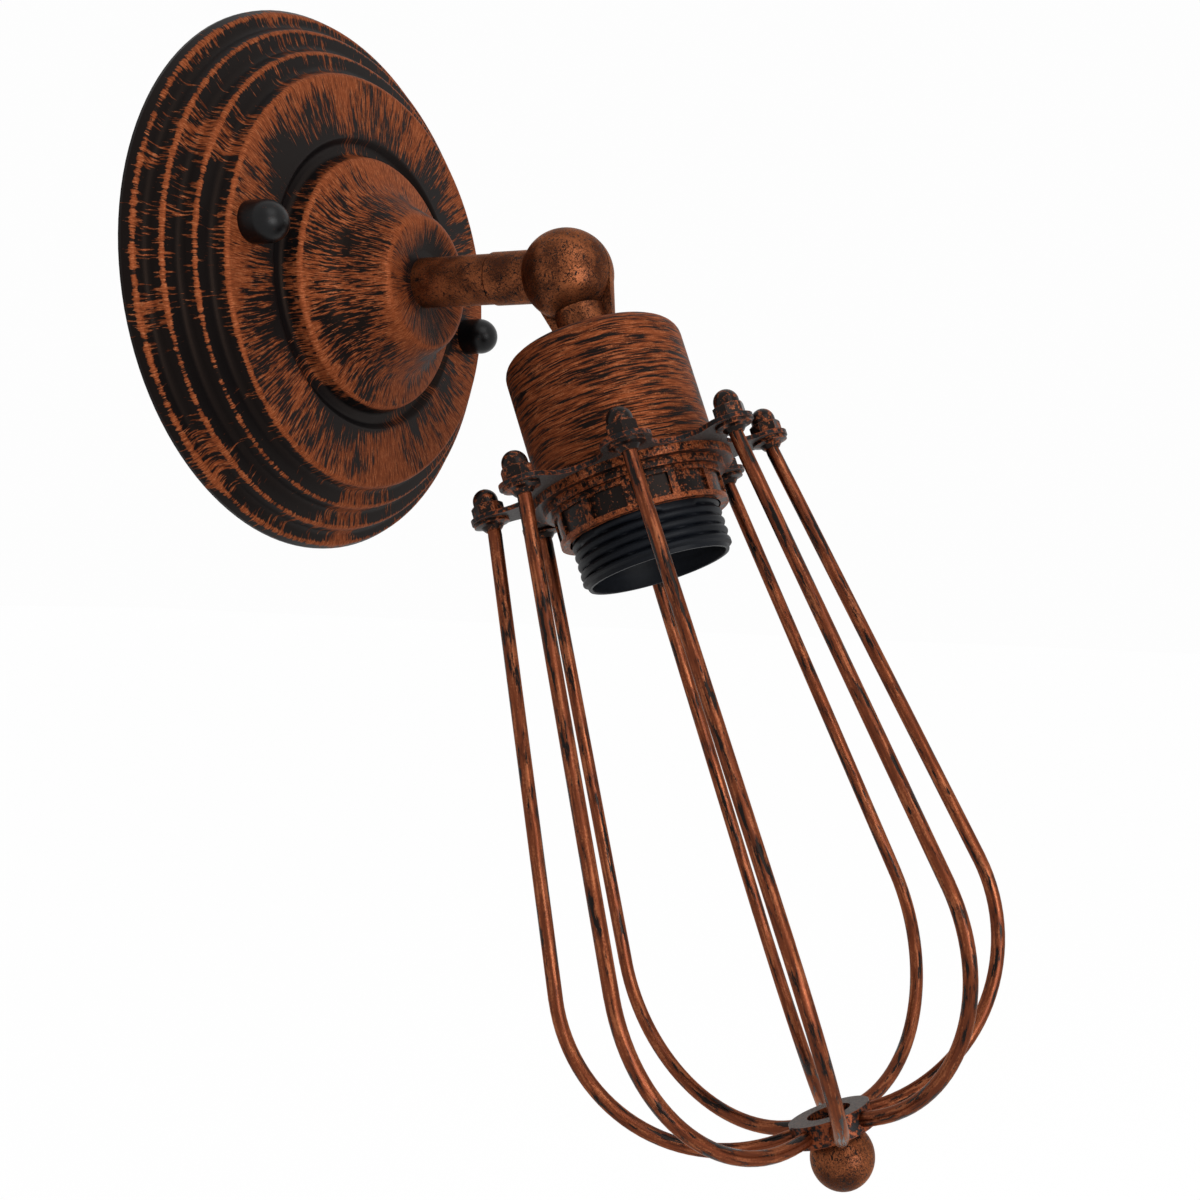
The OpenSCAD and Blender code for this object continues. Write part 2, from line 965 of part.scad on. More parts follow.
// Domed hexagon nut on each wire's threaded end, above the plate
module cap_nuts() {
    dome_side = nut_h - nut_dome_r;
    color(copper)
        along_head()
            at_wires()
                translate([0, 0, cage_plate_top])
                    mirror([0, 0, 1])
                        difference() {
                            union() {
                                intersection() {
                                    cylinder(r = m4_flats / sqrt(3), h = nut_hex_h, $fn = 6);
                                    nut_chamfer(m4_flats, nut_hex_h);
                                }
                                cylinder(r = nut_dome_r, h = dome_side);
                                translate([0, 0, dome_side])
                                    intersection() {
                                        sphere(r = nut_dome_r);
                                        cylinder(r = nut_dome_r + 1, h = nut_dome_r + 1);
                                    }
                            }
                            translate([0, 0, -1])
                                cylinder(r = wire_r + thread_gap, h = nut_bore + 1);
                        }
}

module cage_hub() {
    color(copper)
        along_head()
            ring(hub_r, hub_bore_r, hub_mid - hub_h / 2, hub_mid + hub_h / 2);
}

module ball_finial() {
    hub_end = hub_mid + hub_h / 2;
    color(dark_copper)
        along_head() {
            intersection() {
                translate([0, 0, finial_at])
                    sphere(r = finial_r);
                translate([0, 0, hub_end])
                    cylinder(r = finial_r + 1, h = 3 * finial_r);
            }
            translate([0, 0, hub_end - spigot_len])
                cylinder(r = hub_bore_r - thread_gap, h = spigot_len + 1);
        }
}

wall_plate();
wall_bracket();
bracket_studs();
stud_locknuts();
stud_knobs();
earth_screw();
earth_washer();
arm_nipple();
arm_lock_washer();
arm_locknut();
arm_sleeve();
knuckle_arm_half();
knuckle_head_half();
knuckle_screw();
knuckle_spring_washer();
knuckle_friction_washer();
holder_cup();
holder_nipple();
holder_locknut();
lampholder_cap();
lampholder_skirt();
contact_block();
screw_shell();
centre_contact();
contact_rivet();
terminal_clamps();
terminal_screws();
cage_plate();
shade_ring();
cage_wire_1();
cage_wire_2();
cage_wire_3();
cage_wire_4();
cage_wire_5();
cage_wire_6();
cage_wire_7();
cage_wire_8();
wire_collars();
cap_nuts();
cage_hub();
ball_finial();
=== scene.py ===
"""Looks of the cage wall light: finishes, threads, floor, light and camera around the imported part.

Lengths are in millimetres unless a comment says metres. Finishes are worked out in one of two places: WALL,
whose Z axis points straight out of the wall plate, and HEAD, whose Z axis runs from the pivot along the head.
"""
import json
import math

import bmesh
import bpy
from mathutils import Matrix, Vector


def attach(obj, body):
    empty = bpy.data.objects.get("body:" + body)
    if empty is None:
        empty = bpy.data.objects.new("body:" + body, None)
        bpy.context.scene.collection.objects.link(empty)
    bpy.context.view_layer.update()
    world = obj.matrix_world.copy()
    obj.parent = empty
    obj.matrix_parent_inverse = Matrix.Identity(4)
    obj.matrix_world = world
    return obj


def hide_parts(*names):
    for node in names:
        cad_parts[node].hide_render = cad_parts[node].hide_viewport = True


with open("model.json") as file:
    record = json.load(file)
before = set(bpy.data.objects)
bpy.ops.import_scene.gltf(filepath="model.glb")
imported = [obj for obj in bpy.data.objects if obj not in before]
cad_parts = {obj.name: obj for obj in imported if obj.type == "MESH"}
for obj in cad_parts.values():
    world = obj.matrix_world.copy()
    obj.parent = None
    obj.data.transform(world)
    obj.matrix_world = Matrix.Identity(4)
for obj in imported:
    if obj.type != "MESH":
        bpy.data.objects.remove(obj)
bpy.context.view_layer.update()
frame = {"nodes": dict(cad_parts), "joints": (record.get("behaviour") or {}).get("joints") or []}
nodes = frame["nodes"]

# --- Places and sizes of the part -------------------------------------------------

MM = 0.001

# The head's pivot in metres, the direction of its axis, and how far it hangs out from straight down
joints = {joint["name"]: joint for joint in frame["joints"]}
PIVOT = joints["head_tilt"]["pos_m"]
HEAD_AXIS = joints["cage_slide"]["axis"]
TILT = math.atan2(-HEAD_AXIS[1], -HEAD_AXIS[2])

WALL = Matrix.Rotation(math.pi / 2, 4, "X")
HEAD = Matrix.Translation(PIVOT) @ Matrix.Rotation(math.pi - TILT, 4, "X")
INTO_WALL = (0, 1, 0)

# Radius of the wall plate's rim
PLATE_R = 72.5
# Crests of the wall plate: radius and distance from the wall
CRESTS = ((71.4, 3.1), (66.9, 7.47), (61.1, 11.83), (55.3, 16.2), (33.7, 19.5), (17.6, 35.0))
# Edge between the centre boss and the disc round it, where the brush marks change size
BOSS_EDGE = (33.9, 34.3)

WIRE_COUNT = 8
# Angle of the first wire round the head's axis, in degrees
WIRE_PHASE = 19.4
# Bend that turns a wire in below the lamp: radius, and its centre's place off the head's axis and along it
BELLY_R = 41.2
BELLY_IN = 12.9
BELLY_ALONG = 179.0
# Angle between the head's axis and a wire's straight part
WIRE_SLOPE = math.radians(8.55)

# --- Paints -------------------------------------------------------------------------

BLACK = (0.0036, 0.0034, 0.0038)
BLUE_BLACK = (0.0026, 0.0036, 0.0058)
COPPER = (0.250, 0.060, 0.0195)
PALE_COPPER = (0.470, 0.160, 0.066)
DEEP_COPPER = (0.060, 0.0155, 0.0070)
RED_COPPER = (0.150, 0.0360, 0.0130)
BROWN = (0.054, 0.0160, 0.0070)
LIGHT_BROWN = (0.260, 0.080, 0.030)
# Grey of the cage plate's underside, in two tones: bare steel, and in part a painted reflection of the pale
# surroundings
UNDERSIDE_STEEL_AND_SHEEN = (0.085, 0.075, 0.070)
DARK_UNDERSIDE_STEEL_AND_SHEEN = (0.024, 0.020, 0.019)
HUB_STEEL = (0.115, 0.076, 0.058)
DARK_HUB_STEEL = (0.022, 0.016, 0.013)
ZINC = (0.60, 0.60, 0.58)
BRASS = (0.72, 0.52, 0.22)
CERAMIC = (0.72, 0.70, 0.65)
# Tint of the gloss on lacquered copper
WARM_EDGE = (0.80, 0.50, 0.36, 1.0)

# Margins between which paint goes from bare black to covered, and from a stroke's thin edge to its body
STROKE_EDGE = (-0.010, 0.014)
STROKE_BODY = (0.0, 0.085)


# --- Shader building ------------------------------------------------------------------


class Shader:
    """A material under construction. Sockets and plain numbers can be mixed freely in its methods."""

    def __init__(self, name):
        self.mat = bpy.data.materials.new(name)
        self.mat.use_nodes = True
        self.tree = self.mat.node_tree
        self.tree.nodes.clear()
        self.bsdf = self.tree.nodes.new("ShaderNodeBsdfPrincipled")
        out = self.tree.nodes.new("ShaderNodeOutputMaterial")
        self.tree.links.new(self.bsdf.outputs["BSDF"], out.inputs["Surface"])

    def add(self, kind, **settings):
        node = self.tree.nodes.new("ShaderNode" + kind)
        for key, value in settings.items():
            setattr(node, key, value)
        return node

    def put(self, socket, value):
        if isinstance(value, bpy.types.NodeSocket):
            self.tree.links.new(value, socket)
        elif value is not None:
            socket.default_value = value

    def set(self, **values):
        """Inputs of the surface shader, by name with underscores for spaces."""
        for key, value in values.items():
            self.put(self.bsdf.inputs[key.replace("_", " ")], value)

    # Numbers

    def calc(self, op, a, b=None):
        node = self.add("Math", operation=op)
        self.put(node.inputs[0], a)
        self.put(node.inputs[1], b)
        return node.outputs[0]

    def plus(self, a, b):
        return self.calc("ADD", a, b)

    def minus(self, a, b):
        return self.calc("SUBTRACT", a, b)

    def times(self, a, b):
        return self.calc("MULTIPLY", a, b)

    def length(self, a, b):
        """Distance from the origin of the point (a, b)."""
        return self.calc("SQRT", self.plus(self.times(a, a), self.times(b, b)))

    def total(self, *terms):
        """Sum of (weight, socket) pairs."""
        result = 0.0
        for weight, value in terms:
            result = self.plus(result, self.times(value, weight))
        return result

    def either(self, switch, when_one, when_zero):
        """One of two values, by a switch that is 1 or 0."""
        return self.plus(self.times(when_one, switch), self.times(when_zero, self.minus(1.0, switch)))

    def smooth(self, value, low, high):
        """0 below low and 1 above high, with a soft step between. It falls where low is above high."""
        node = self.add("MapRange", interpolation_type="SMOOTHSTEP")
        self.put(node.inputs["Value"], value)
        self.put(node.inputs["From Min"], low)
        self.put(node.inputs["From Max"], high)
        return node.outputs[0]

    def curve(self, value, stops, span):
        """Straight lines through (position, level) stops, with positions from 0 to span."""
        node = self.add("ValToRGB")
        self.put(node.inputs[0], self.calc("DIVIDE", value, span))
        items = node.color_ramp.elements
        while len(items) < len(stops):
            items.new(1.0)
        for item, (at, level) in zip(items, stops):
            item.position = at / span
            item.color = (level, level, level, 1)
        return node.outputs[0]

    # Places on the surface

    def point(self, place):
        """The surface point in the frame of `place`, in millimetres, moving with its piece."""
        coord = self.add("TexCoord").outputs["Object"]
        loc, rot, _ = place.decompose()
        mapping = self.add("Mapping", vector_type="TEXTURE")
        self.put(mapping.inputs["Vector"], coord)
        mapping.inputs["Location"].default_value = loc
        mapping.inputs["Rotation"].default_value = rot.to_euler()
        mapping.inputs["Scale"].default_value = (MM, MM, MM)
        return mapping.outputs[0]

    def split(self, vector):
        node = self.add("SeparateXYZ")
        self.put(node.inputs[0], vector)
        return node.outputs[0], node.outputs[1], node.outputs[2]

    def join(self, x, y, z):
        node = self.add("CombineXYZ")
        for socket, value in zip(node.inputs, (x, y, z)):
            self.put(socket, value)
        return node.outputs[0]

    def scaled(self, vector, x, y, z):
        node = self.add("VectorMath", operation="MULTIPLY")
        self.put(node.inputs[0], vector)
        node.inputs[1].default_value = (x, y, z)
        return node.outputs[0]

    def edges(self, radius):
        """Near 1 on edges sharper than radius, 0 on flat faces."""
        bevel = self.add("Bevel", samples=4)
        bevel.inputs["Radius"].default_value = radius * MM
        dot = self.add("VectorMath", operation="DOT_PRODUCT")
        self.put(dot.inputs[0], bevel.outputs[0])
        self.put(dot.inputs[1], self.add("NewGeometry").outputs["Normal"])
        return self.smooth(self.minus(1.0, dot.outputs["Value"]), 0.02, 0.2)

    def facing(self, axis):
        """Cosine between the surface normal at rest and an axis of the row frame."""
        dot = self.add("VectorMath", operation="DOT_PRODUCT")
        self.put(dot.inputs[0], self.add("TexCoord").outputs["Normal"])
        dot.inputs[1].default_value = axis
        return dot.outputs["Value"]

    # Patterns, colour and relief

    def noise(self, vector, detail=3.0, rough=0.55, distort=0.0):
        node = self.add("TexNoise")
        self.put(node.inputs["Vector"], vector)
        node.inputs["Scale"].default_value = 1.0
        node.inputs["Detail"].default_value = detail
        node.inputs["Roughness"].default_value = rough
        node.inputs["Distortion"].default_value = distort
        return node.outputs["Fac"]

    def speckle(self, vector, pitch, **settings):
        """Noise that is alike in every direction, with about `pitch` grains in a millimetre."""
        return self.noise(self.scaled(vector, pitch, pitch, pitch), **settings)

    def blend(self, factor, a, b):
        """Colour a where factor is 0, and b where it is 1."""
        node = self.add("Mix", data_type="RGBA")
        self.put(node.inputs["Factor"], factor)
        for socket, value in ((node.inputs[6], a), (node.inputs[7], b)):
            self.put(socket, (*value, 1.0) if isinstance(value, tuple) else value)
        return node.outputs[2]

    def bump(self, height, depth):
        """Relief from a height of 0 to 1, which is `depth` millimetres at 1."""
        node = self.add("Bump")
        node.inputs["Strength"].default_value = 1.0
        node.inputs["Distance"].default_value = depth * MM
        self.put(node.inputs["Height"], height)
        self.put(self.bsdf.inputs["Normal"], node.outputs[0])


# --- Brushed copper over black ----------------------------------------------------------


def strokes(s, fine, wide, patch, cover):
    """Height of dry-brush strokes above the level that leaves about the share `cover` painted."""
    level = s.total((0.62, fine), (0.23, wide), (0.15, patch))
    edge = s.minus(0.68, s.times(cover, 0.36))
    return s.minus(level, edge)


def mottled(s, p, cover, pitch=1.0):
    """Strokes' height where paint was dabbed on, with no direction."""
    fine = s.speckle(p, pitch, detail=4, rough=0.65, distort=0.3)
    wide = s.speckle(p, 0.3, detail=2)
    patch = s.speckle(p, 0.08, detail=2)
    return strokes(s, fine, wide, patch, cover)


def lacquer(s, margin, streak, grain, gloss=0.40, coat=0.0, sheen=0.30, body=COPPER, contrast=0.65):
    """Copper strokes over black. margin is how far inside a stroke a point is, and below 0 is bare black."""
    covered = s.smooth(margin, *STROKE_EDGE)
    copper = s.blend(s.smooth(margin, *STROKE_BODY), DEEP_COPPER, body)
    worn = s.times(s.smooth(streak, 0.50, 0.36), contrast)
    bright = s.times(s.smooth(s.total((0.7, streak), (0.3, grain)), 0.50, 0.64), contrast)
    copper = s.blend(bright, s.blend(worn, copper, DEEP_COPPER), PALE_COPPER)
    s.set(
        Base_Color=s.blend(covered, BLACK, copper),
        Metallic=s.times(covered, sheen),
        Roughness=s.total((gloss, 1.0), (0.10, covered), (0.10, grain)),
        Specular_IOR_Level=0.13,
        Specular_Tint=WARM_EDGE,
        Coat_Weight=coat,
        Coat_Roughness=0.16,
    )
    s.bump(s.total((0.55, covered), (0.30, streak), (0.15, grain)), 0.05)
    return s.mat


# Share of the wall plate that its strokes cover, by radius
PLATE_COVER = (
    # Hole for the arm, and the bell round it
    (0, 0.36), (8, 0.36), (10, 0.48), (17, 0.56), (21, 0.52), (27, 0.53), (33, 0.50),
    # Groove, and the disc round it
    (34.6, 0.30), (35, 0.12), (39, 0.12), (40.5, 0.33), (44, 0.46), (50, 0.54), (54.5, 0.58),
    # Steps and rim
    (56, 0.24), (60, 0.15), (61.8, 0.22), (66, 0.16), (68, 0.22), (70.5, 0.26), (71.5, 0.12), (PLATE_R, 0.10),
)


def near_crests(s, r, out):
    """Distance from the nearest crest of the wall plate."""
    nearest = None
    for crest_r, crest_out in CRESTS:
        gap = s.length(s.minus(r, crest_r), s.minus(out, crest_out))
        nearest = gap if nearest is None else s.calc("MINIMUM", nearest, gap)
    return nearest


def plate_finish():
    """Short strokes brushed outward from the middle, solid on the crests and sparse in the hollows."""
    s = Shader("brushed_plate")
    p = s.point(WALL)
    x, y, out = s.split(p)
    r = s.length(x, y)
    along = s.minus(r, out)

    # Direction from the middle, swung a little to and fro so that strokes aren't dead straight
    bend = s.times(s.minus(s.speckle(p, 0.09, detail=2), 0.5), 0.9)
    safe_r = s.calc("MAXIMUM", r, 1.0)
    ux, uy = s.calc("DIVIDE", x, safe_r), s.calc("DIVIDE", y, safe_r)
    swing = s.calc("DIVIDE", bend, safe_r)
    tx = s.minus(ux, s.times(uy, swing))
    ty = s.plus(uy, s.times(ux, swing))

    def radial(round_pitch, along_pitch, detail=2.5):
        vector = s.join(s.times(tx, round_pitch), s.times(ty, round_pitch), s.times(along, along_pitch))
        return s.noise(vector, detail=detail, rough=0.62)

    on_disc = s.smooth(r, *BOSS_EDGE)
    fine = s.either(on_disc, radial(88, 0.17), radial(52, 0.20))
    streak = s.either(on_disc, radial(190, 0.35), radial(105, 0.40))
    wide = radial(26, 0.12, detail=3)
    patch = s.speckle(p, 0.055, detail=2)

    crest_gap = near_crests(s, r, out)
    crest = s.minus(1.0, s.smooth(crest_gap, 0.3, 1.2))
    crest_hair = s.minus(1.0, s.smooth(crest_gap, 0.8, 5.5))
    smear = s.smooth(s.speckle(p, 0.030, detail=3), 0.50, 0.64)
    unbrushed_back = s.smooth(s.facing(INTO_WALL), 0.02, 0.15)
    cover = s.total(
        (1.0, s.curve(r, PLATE_COVER, PLATE_R)), (0.46, crest), (0.13, crest_hair), (0.14, smear),
        (0.9, s.minus(patch, 0.5)), (-0.9, unbrushed_back),
    )
    margin = strokes(s, fine, wide, patch, cover)
    return lacquer(s, margin, streak, s.speckle(p, 2.2))


def cup_finish():
    """Long strokes that run round the cup."""
    s = Shader("brushed_cup")
    p = s.point(HEAD)
    warp = s.speckle(p, 0.06, detail=2)
    x, y, height = s.split(p)
    along = s.plus(height, s.times(warp, 1.6))

    def round_and_round(round_pitch, along_pitch, detail):
        vector = s.join(s.times(x, round_pitch), s.times(y, round_pitch), s.times(along, along_pitch))
        return s.noise(vector, detail=detail, rough=0.62)

    fine = round_and_round(0.12, 2.2, 5)
    streak = round_and_round(0.24, 3.8, 4)
    wide = round_and_round(0.05, 0.90, 3)
    patch = s.speckle(p, 0.07, detail=2)
    margin = strokes(s, fine, wide, patch, 0.60)
    return lacquer(s, margin, streak, s.speckle(p, 2.2))


def wire_finish(index):
    """Glossy flecked strokes that follow a bent wire."""
    s = Shader(f"brushed_wire_{index}")
    turn = WIRE_PHASE + (index - 1) * 360 / WIRE_COUNT
    p = s.point(HEAD @ Matrix.Rotation(math.radians(turn), 4, "Z"))
    x, y, along = s.split(p)

    # Place on the wire, in the straight part or the bend: how far down its path and how far across it
    dx, da = s.minus(x, BELLY_IN), s.minus(along, BELLY_ALONG)
    bend_start = BELLY_ALONG - BELLY_R * math.sin(WIRE_SLOPE)
    bent = s.calc("GREATER_THAN", along, bend_start)
    bend_angle = s.plus(s.calc("ARCTAN2", da, dx), WIRE_SLOPE)
    path = s.either(bent, s.plus(s.times(bend_angle, BELLY_R), bend_start), along)
    across_straight = s.total((math.cos(WIRE_SLOPE), dx), (-math.sin(WIRE_SLOPE), da))
    across = s.either(bent, s.length(dx, da), across_straight)

    drawn = s.join(s.times(across, 0.80), s.times(y, 0.95), s.times(path, 0.13))
    fine = s.noise(drawn, detail=4, rough=0.65)
    wide = s.speckle(drawn, 0.4, detail=2)
    streak = s.noise(s.scaled(drawn, 1.5, 1.5, 0.8), detail=2)
    patch = s.speckle(p, 0.05, detail=2)
    margin = strokes(s, fine, wide, patch, 0.66)
    shine = {"gloss": 0.20, "coat": 0.10, "sheen": 0.75}
    return lacquer(s, margin, streak, s.speckle(p, 2.0), body=RED_COPPER, contrast=0.42, **shine)


def nut_finish():
    """Mottled copper over black with copper edges, for nuts and collars."""
    s = Shader("brushed_nuts")
    p = s.point(HEAD)
    margin = mottled(s, p, s.total((0.26, s.edges(0.45)), (1.0, 0.42)), pitch=0.75)
    streak = s.speckle(p, 3.4, detail=2)
    return lacquer(s, margin, streak, s.speckle(p, 2.4), gloss=0.32, coat=0.12, sheen=0.35)


RING_SPAN = 27.0
# Share of the ring that its paint covers, by radius
RING_COVER = (
    # Panels between the ribs, and the ribs
    (0, 0.46), (20.5, 0.46), (21.15, 0.38), (21.35, 0.40), (21.7, 0.54), (22.1, 0.54),
    # Waist, and the flange with its rim
    (22.6, 0.38), (23.2, 0.40), (23.55, 0.56), (24.2, 0.34), (25.6, 0.36), (26.2, 0.60), (RING_SPAN, 0.60),
)
# Distances along the head between which the ring's open end starts
RING_END = (68.0, 68.6)


def ring_finish():
    """Copper on the ribs and rims of the screwed ring, dark in its panels."""
    s = Shader("brushed_ring")
    p = s.point(HEAD)
    x, y, along = s.split(p)
    base = s.curve(s.length(x, y), RING_COVER, RING_SPAN)
    cover = s.total((1.0, base), (0.14, s.smooth(along, *RING_END)), (0.14, s.edges(0.4)))
    streak = s.speckle(p, 3.0, detail=2)
    return lacquer(s, mottled(s, p, cover), streak, s.speckle(p, 2.4), gloss=0.34, coat=0.08)


def bare_finish(name, cover, side, steel, dark_steel):
    """Copper over black, with bare steel on the flat that faces along the head (side 1) or back (side -1). On
    the cage plate's underside this grey is bare steel and in part a painted reflection of the pale
    surroundings.
    """
    s = Shader(name)
    p = s.point(HEAD)
    margin = mottled(s, p, s.plus(s.times(s.edges(0.45), 0.26), cover))
    covered = s.smooth(margin, *STROKE_EDGE)
    paint = s.blend(covered, BLACK, s.blend(s.smooth(margin, *STROKE_BODY), DEEP_COPPER, COPPER))
    grain = s.speckle(p, 2.2, detail=4)
    # Grey on the flat: bare steel on the hub, and on the cage plate's underside bare steel and in part a
    # painted reflection
    bare = s.smooth(s.times(s.facing(HEAD_AXIS), side), 0.80, 0.93)
    s.set(
        Base_Color=s.blend(bare, paint, s.blend(s.smooth(grain, 0.40, 0.60), dark_steel, steel)),
        Metallic=s.total((0.30, covered), (0.20, bare)),
        Roughness=s.total((0.34, 1.0), (0.14, grain), (0.10, bare)),
        Specular_IOR_Level=0.15,
    )
    s.bump(s.total((0.6, covered), (0.4, grain)), 0.04)
    return s.mat


# --- Other finishes -----------------------------------------------------------------------


def scratches(s, p, pitch, width, rarity):
    """Thin wandering lines, in the places where a second noise is above `rarity`."""
    wander = s.speckle(p, pitch, detail=2, distort=1.6)
    off_line = s.calc("ABSOLUTE", s.minus(wander, 0.5))
    thin = s.minus(1.0, s.smooth(off_line, width * 0.4, width))
    where = s.speckle(p, pitch * 1.7, detail=2)
    return s.times(thin, s.smooth(where, rarity, rarity + 0.05))


def cast_finish(name, place):
    """Smooth brown copper with dark scratches and pits, for the arm, the knuckle and the ball at the end."""
    s = Shader(name)
    p = s.point(place)
    pits = s.smooth(s.speckle(p, 1.9, detail=3, rough=0.7, distort=0.6), 0.560, 0.615)
    marks = s.calc("MAXIMUM", scratches(s, p, 0.33, 0.030, 0.49), scratches(s, p, 0.75, 0.034, 0.52))
    marks = s.calc("MAXIMUM", marks, s.times(pits, 0.75))
    grain = s.speckle(p, 3.4)
    cloud = s.total((0.6, s.speckle(p, 0.14)), (0.4, grain))
    copper = s.blend(s.smooth(cloud, 0.38, 0.62), BROWN, LIGHT_BROWN)
    s.set(
        Base_Color=s.blend(marks, copper, BLACK),
        Metallic=s.times(s.minus(1.0, marks), 0.75),
        Roughness=s.total((0.35, 1.0), (0.12, grain), (0.15, marks)),
        Specular_IOR_Level=0.15,
        Specular_Tint=WARM_EDGE,
        Coat_Weight=0.04,
        Coat_Roughness=0.22,
    )
    s.bump(s.total((-0.8, marks), (0.25, grain)), 0.05)
    return s.mat


def knob_finish():
    """Black lacquer with faint dust and small chips."""
    s = Shader("black_knob")
    p = s.point(WALL)
    grain = s.speckle(p, 2.8)
    chip = s.smooth(s.noise(s.scaled(p, 1.1, 1.1, 0.8)), 0.64, 0.70)
    s.set(
        Base_Color=s.blend(s.times(chip, 0.35), BLACK, DEEP_COPPER),
        Roughness=s.total((0.26, 1.0), (0.14, grain)),
        Specular_IOR_Level=0.20,
    )
    s.bump(grain, 0.02)
    return s.mat


def moulding_finish(name, colour, rough, shine):
    """Moulded plastic or glaze with fine orange peel and faint flow marks."""
    s = Shader(name)
    p = s.point(HEAD)
    flow = s.noise(s.scaled(p, 0.08, 0.08, 0.5), distort=0.5)
    paler = tuple(level * 1.5 + 0.002 for level in colour)
    s.set(
        Base_Color=s.blend(s.smooth(flow, 0.35, 0.7), colour, paler),
        Roughness=s.total((rough, 1.0), (0.10, flow)),
        Specular_IOR_Level=shine,
    )
    s.bump(s.speckle(p, 1.6, detail=2), 0.015)
    return s.mat


def metal_finish(name, colour, rough, place):
    """Plated or plain metal with drawn marks and dulled patches."""
    s = Shader(name)
    p = s.point(place)
    drawn = s.noise(s.scaled(p, 2.6, 2.6, 0.25))
    dull = s.speckle(p, 0.35)
    darker = tuple(level * 0.62 for level in colour)
    s.set(
        Base_Color=s.blend(s.smooth(dull, 0.40, 0.68), colour, darker),
        Metallic=1.0,
        Roughness=s.total((rough, 1.0), (0.18, drawn), (0.12, dull)),
    )
    s.bump(drawn, 0.012)
    return s.mat


# --- Threads ----------------------------------------------------------------------------------

TURN_STEPS = 240
SHARP_ANGLE = math.radians(40)


def swept_round(name, profile, body, replaced):
    """Closed ring round the head's axis. profile(angle) gives its section as (radius, along) points."""
    mesh = bmesh.new()
    columns = []
    for i in range(TURN_STEPS):
        angle = 2 * math.pi * i / TURN_STEPS
        section = [(r * math.cos(angle), r * math.sin(angle), along) for r, along in profile(angle)]
        columns.append([mesh.verts.new(HEAD @ (Vector(spot) * MM)) for spot in section])
    count = len(columns[0])
    for i, here in enumerate(columns):
        there = columns[(i + 1) % TURN_STEPS]
        for k in range(count):
            mesh.faces.new((here[k], here[(k + 1) % count], there[(k + 1) % count], there[k]))
    bmesh.ops.recalc_face_normals(mesh, faces=mesh.faces)
    for face in mesh.faces:
        face.smooth = True
    data = bpy.data.meshes.new(name)
    mesh.to_mesh(data)
    mesh.free()
    data.set_sharp_from_angle(angle=SHARP_ANGLE)
    obj = bpy.data.objects.new(name, data)
    bpy.context.scene.collection.objects.link(obj)
    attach(obj, body)
    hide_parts(replaced)
    return obj


def ease(value, low, high):
    """0 below low, 1 above high, with a soft step between."""
    share = min(1.0, max(0.0, (value - low) / (high - low)))
    return share * share * (3 - 2 * share)


def rows(start, step, count):
    """Evenly spaced distances along the head."""
    return [start + step * i for i in range(count)]


# Distance along the head of the contact block's lower end, where the skirt has a ledge and the shell its foot
BLOCK_END = 47.4

SKIRT_PITCH = 2.5
SKIRT_CREST = 19.4
SKIRT_DEPTH = 1.15
SKIRT_SMOOTH_R = SKIRT_CREST - 0.35
# Power that rounds the back of the thread's ridge
SKIRT_ROUNDING = 0.62
# Where the thread rises to its full depth and where it runs out, along the head
SKIRT_RUN_IN = (49.0, 51.0)
SKIRT_RUN_OUT = (78.9, 79.6)
# Smooth gaps in the thread where the mould parts: middle angle and half width in degrees
SKIRT_GAPS = ((128, 15), (206, 10), (308, 15), (26, 10))
# Where the gaps fade out along the head
SKIRT_GAP_END = (70.5, 72.5)
# Rows of points down the thread: the first one's place along the head, the step and the count
SKIRT_ROWS = (48.6, 0.2, 156)
# Ends of the skirt along the head, and where its neck meets the thread
SKIRT_TOP = 39.4
SKIRT_SHOULDER = 48.0
SKIRT_MOUTH = 81.6
# Outside of the neck, bore round the shell, and pocket round the contact block
SKIRT_NECK_R = 19.15
SKIRT_LINER_R = 14.35
SKIRT_POCKET_R = 16.3


def skirt_outside(angle, along):
    """Outer radius of the skirt: a round-backed ridge that winds down it, with smooth gaps near the ring."""
    turn = (along / SKIRT_PITCH - angle / (2 * math.pi)) % 1.0
    ridge = math.sin(math.pi * turn) ** SKIRT_ROUNDING
    run = ease(along, *SKIRT_RUN_IN) * (1 - ease(along, *SKIRT_RUN_OUT))
    gap = 0.0
    for middle, half in SKIRT_GAPS:
        away = abs((math.degrees(angle) - middle + 180) % 360 - 180)
        gap = max(gap, (1 - ease(away, half - 2, half + 3)) * (1 - ease(along, *SKIRT_GAP_END)))
    threaded = SKIRT_CREST - SKIRT_DEPTH * (1 - ridge) * run
    return threaded * (1 - gap) + SKIRT_SMOOTH_R * gap


def skirt_profile(angle):
    """Section of the skirt: down its outside, round the rim of its mouth and up its inside."""
    neck = [(SKIRT_NECK_R, SKIRT_TOP), (SKIRT_NECK_R, SKIRT_SHOULDER)]
    thread = [(skirt_outside(angle, along), along) for along in rows(*SKIRT_ROWS)]
    lip = [(SKIRT_CREST, 80.0), (18.55, 80.6), (18.4, 81.3)]
    rim = lip + [(18.25, SKIRT_MOUTH), (17.6, SKIRT_MOUTH), (17.4, 81.4)]
    flare = [(16.9, 73.0), (SKIRT_LINER_R, 67.6), (SKIRT_LINER_R, BLOCK_END)]
    pocket = [(SKIRT_POCKET_R, BLOCK_END), (SKIRT_POCKET_R, SKIRT_TOP)]
    return neck + thread + rim + flare + pocket


SHELL_PITCH = 3.63
SHELL_R = 13.5
SHELL_DEPTH = 0.95
SHELL_SHEET = 0.5
SHELL_RUN_IN = (52.6, 54.2)
SHELL_RUN_OUT = (65.2, 66.4)
SHELL_ROWS = (52.8, 0.3, 48)
# Narrow foot of the shell: its outer and inner radius, its hole for the centre contact, and how far along the
# head its floor and the step above it are
SHELL_FOOT_R = 13.15
SHELL_FOOT_INSIDE_R = 12.6
SHELL_HOLE_R = 10.0
SHELL_FLOOR = 47.95
SHELL_STEP = 52.1


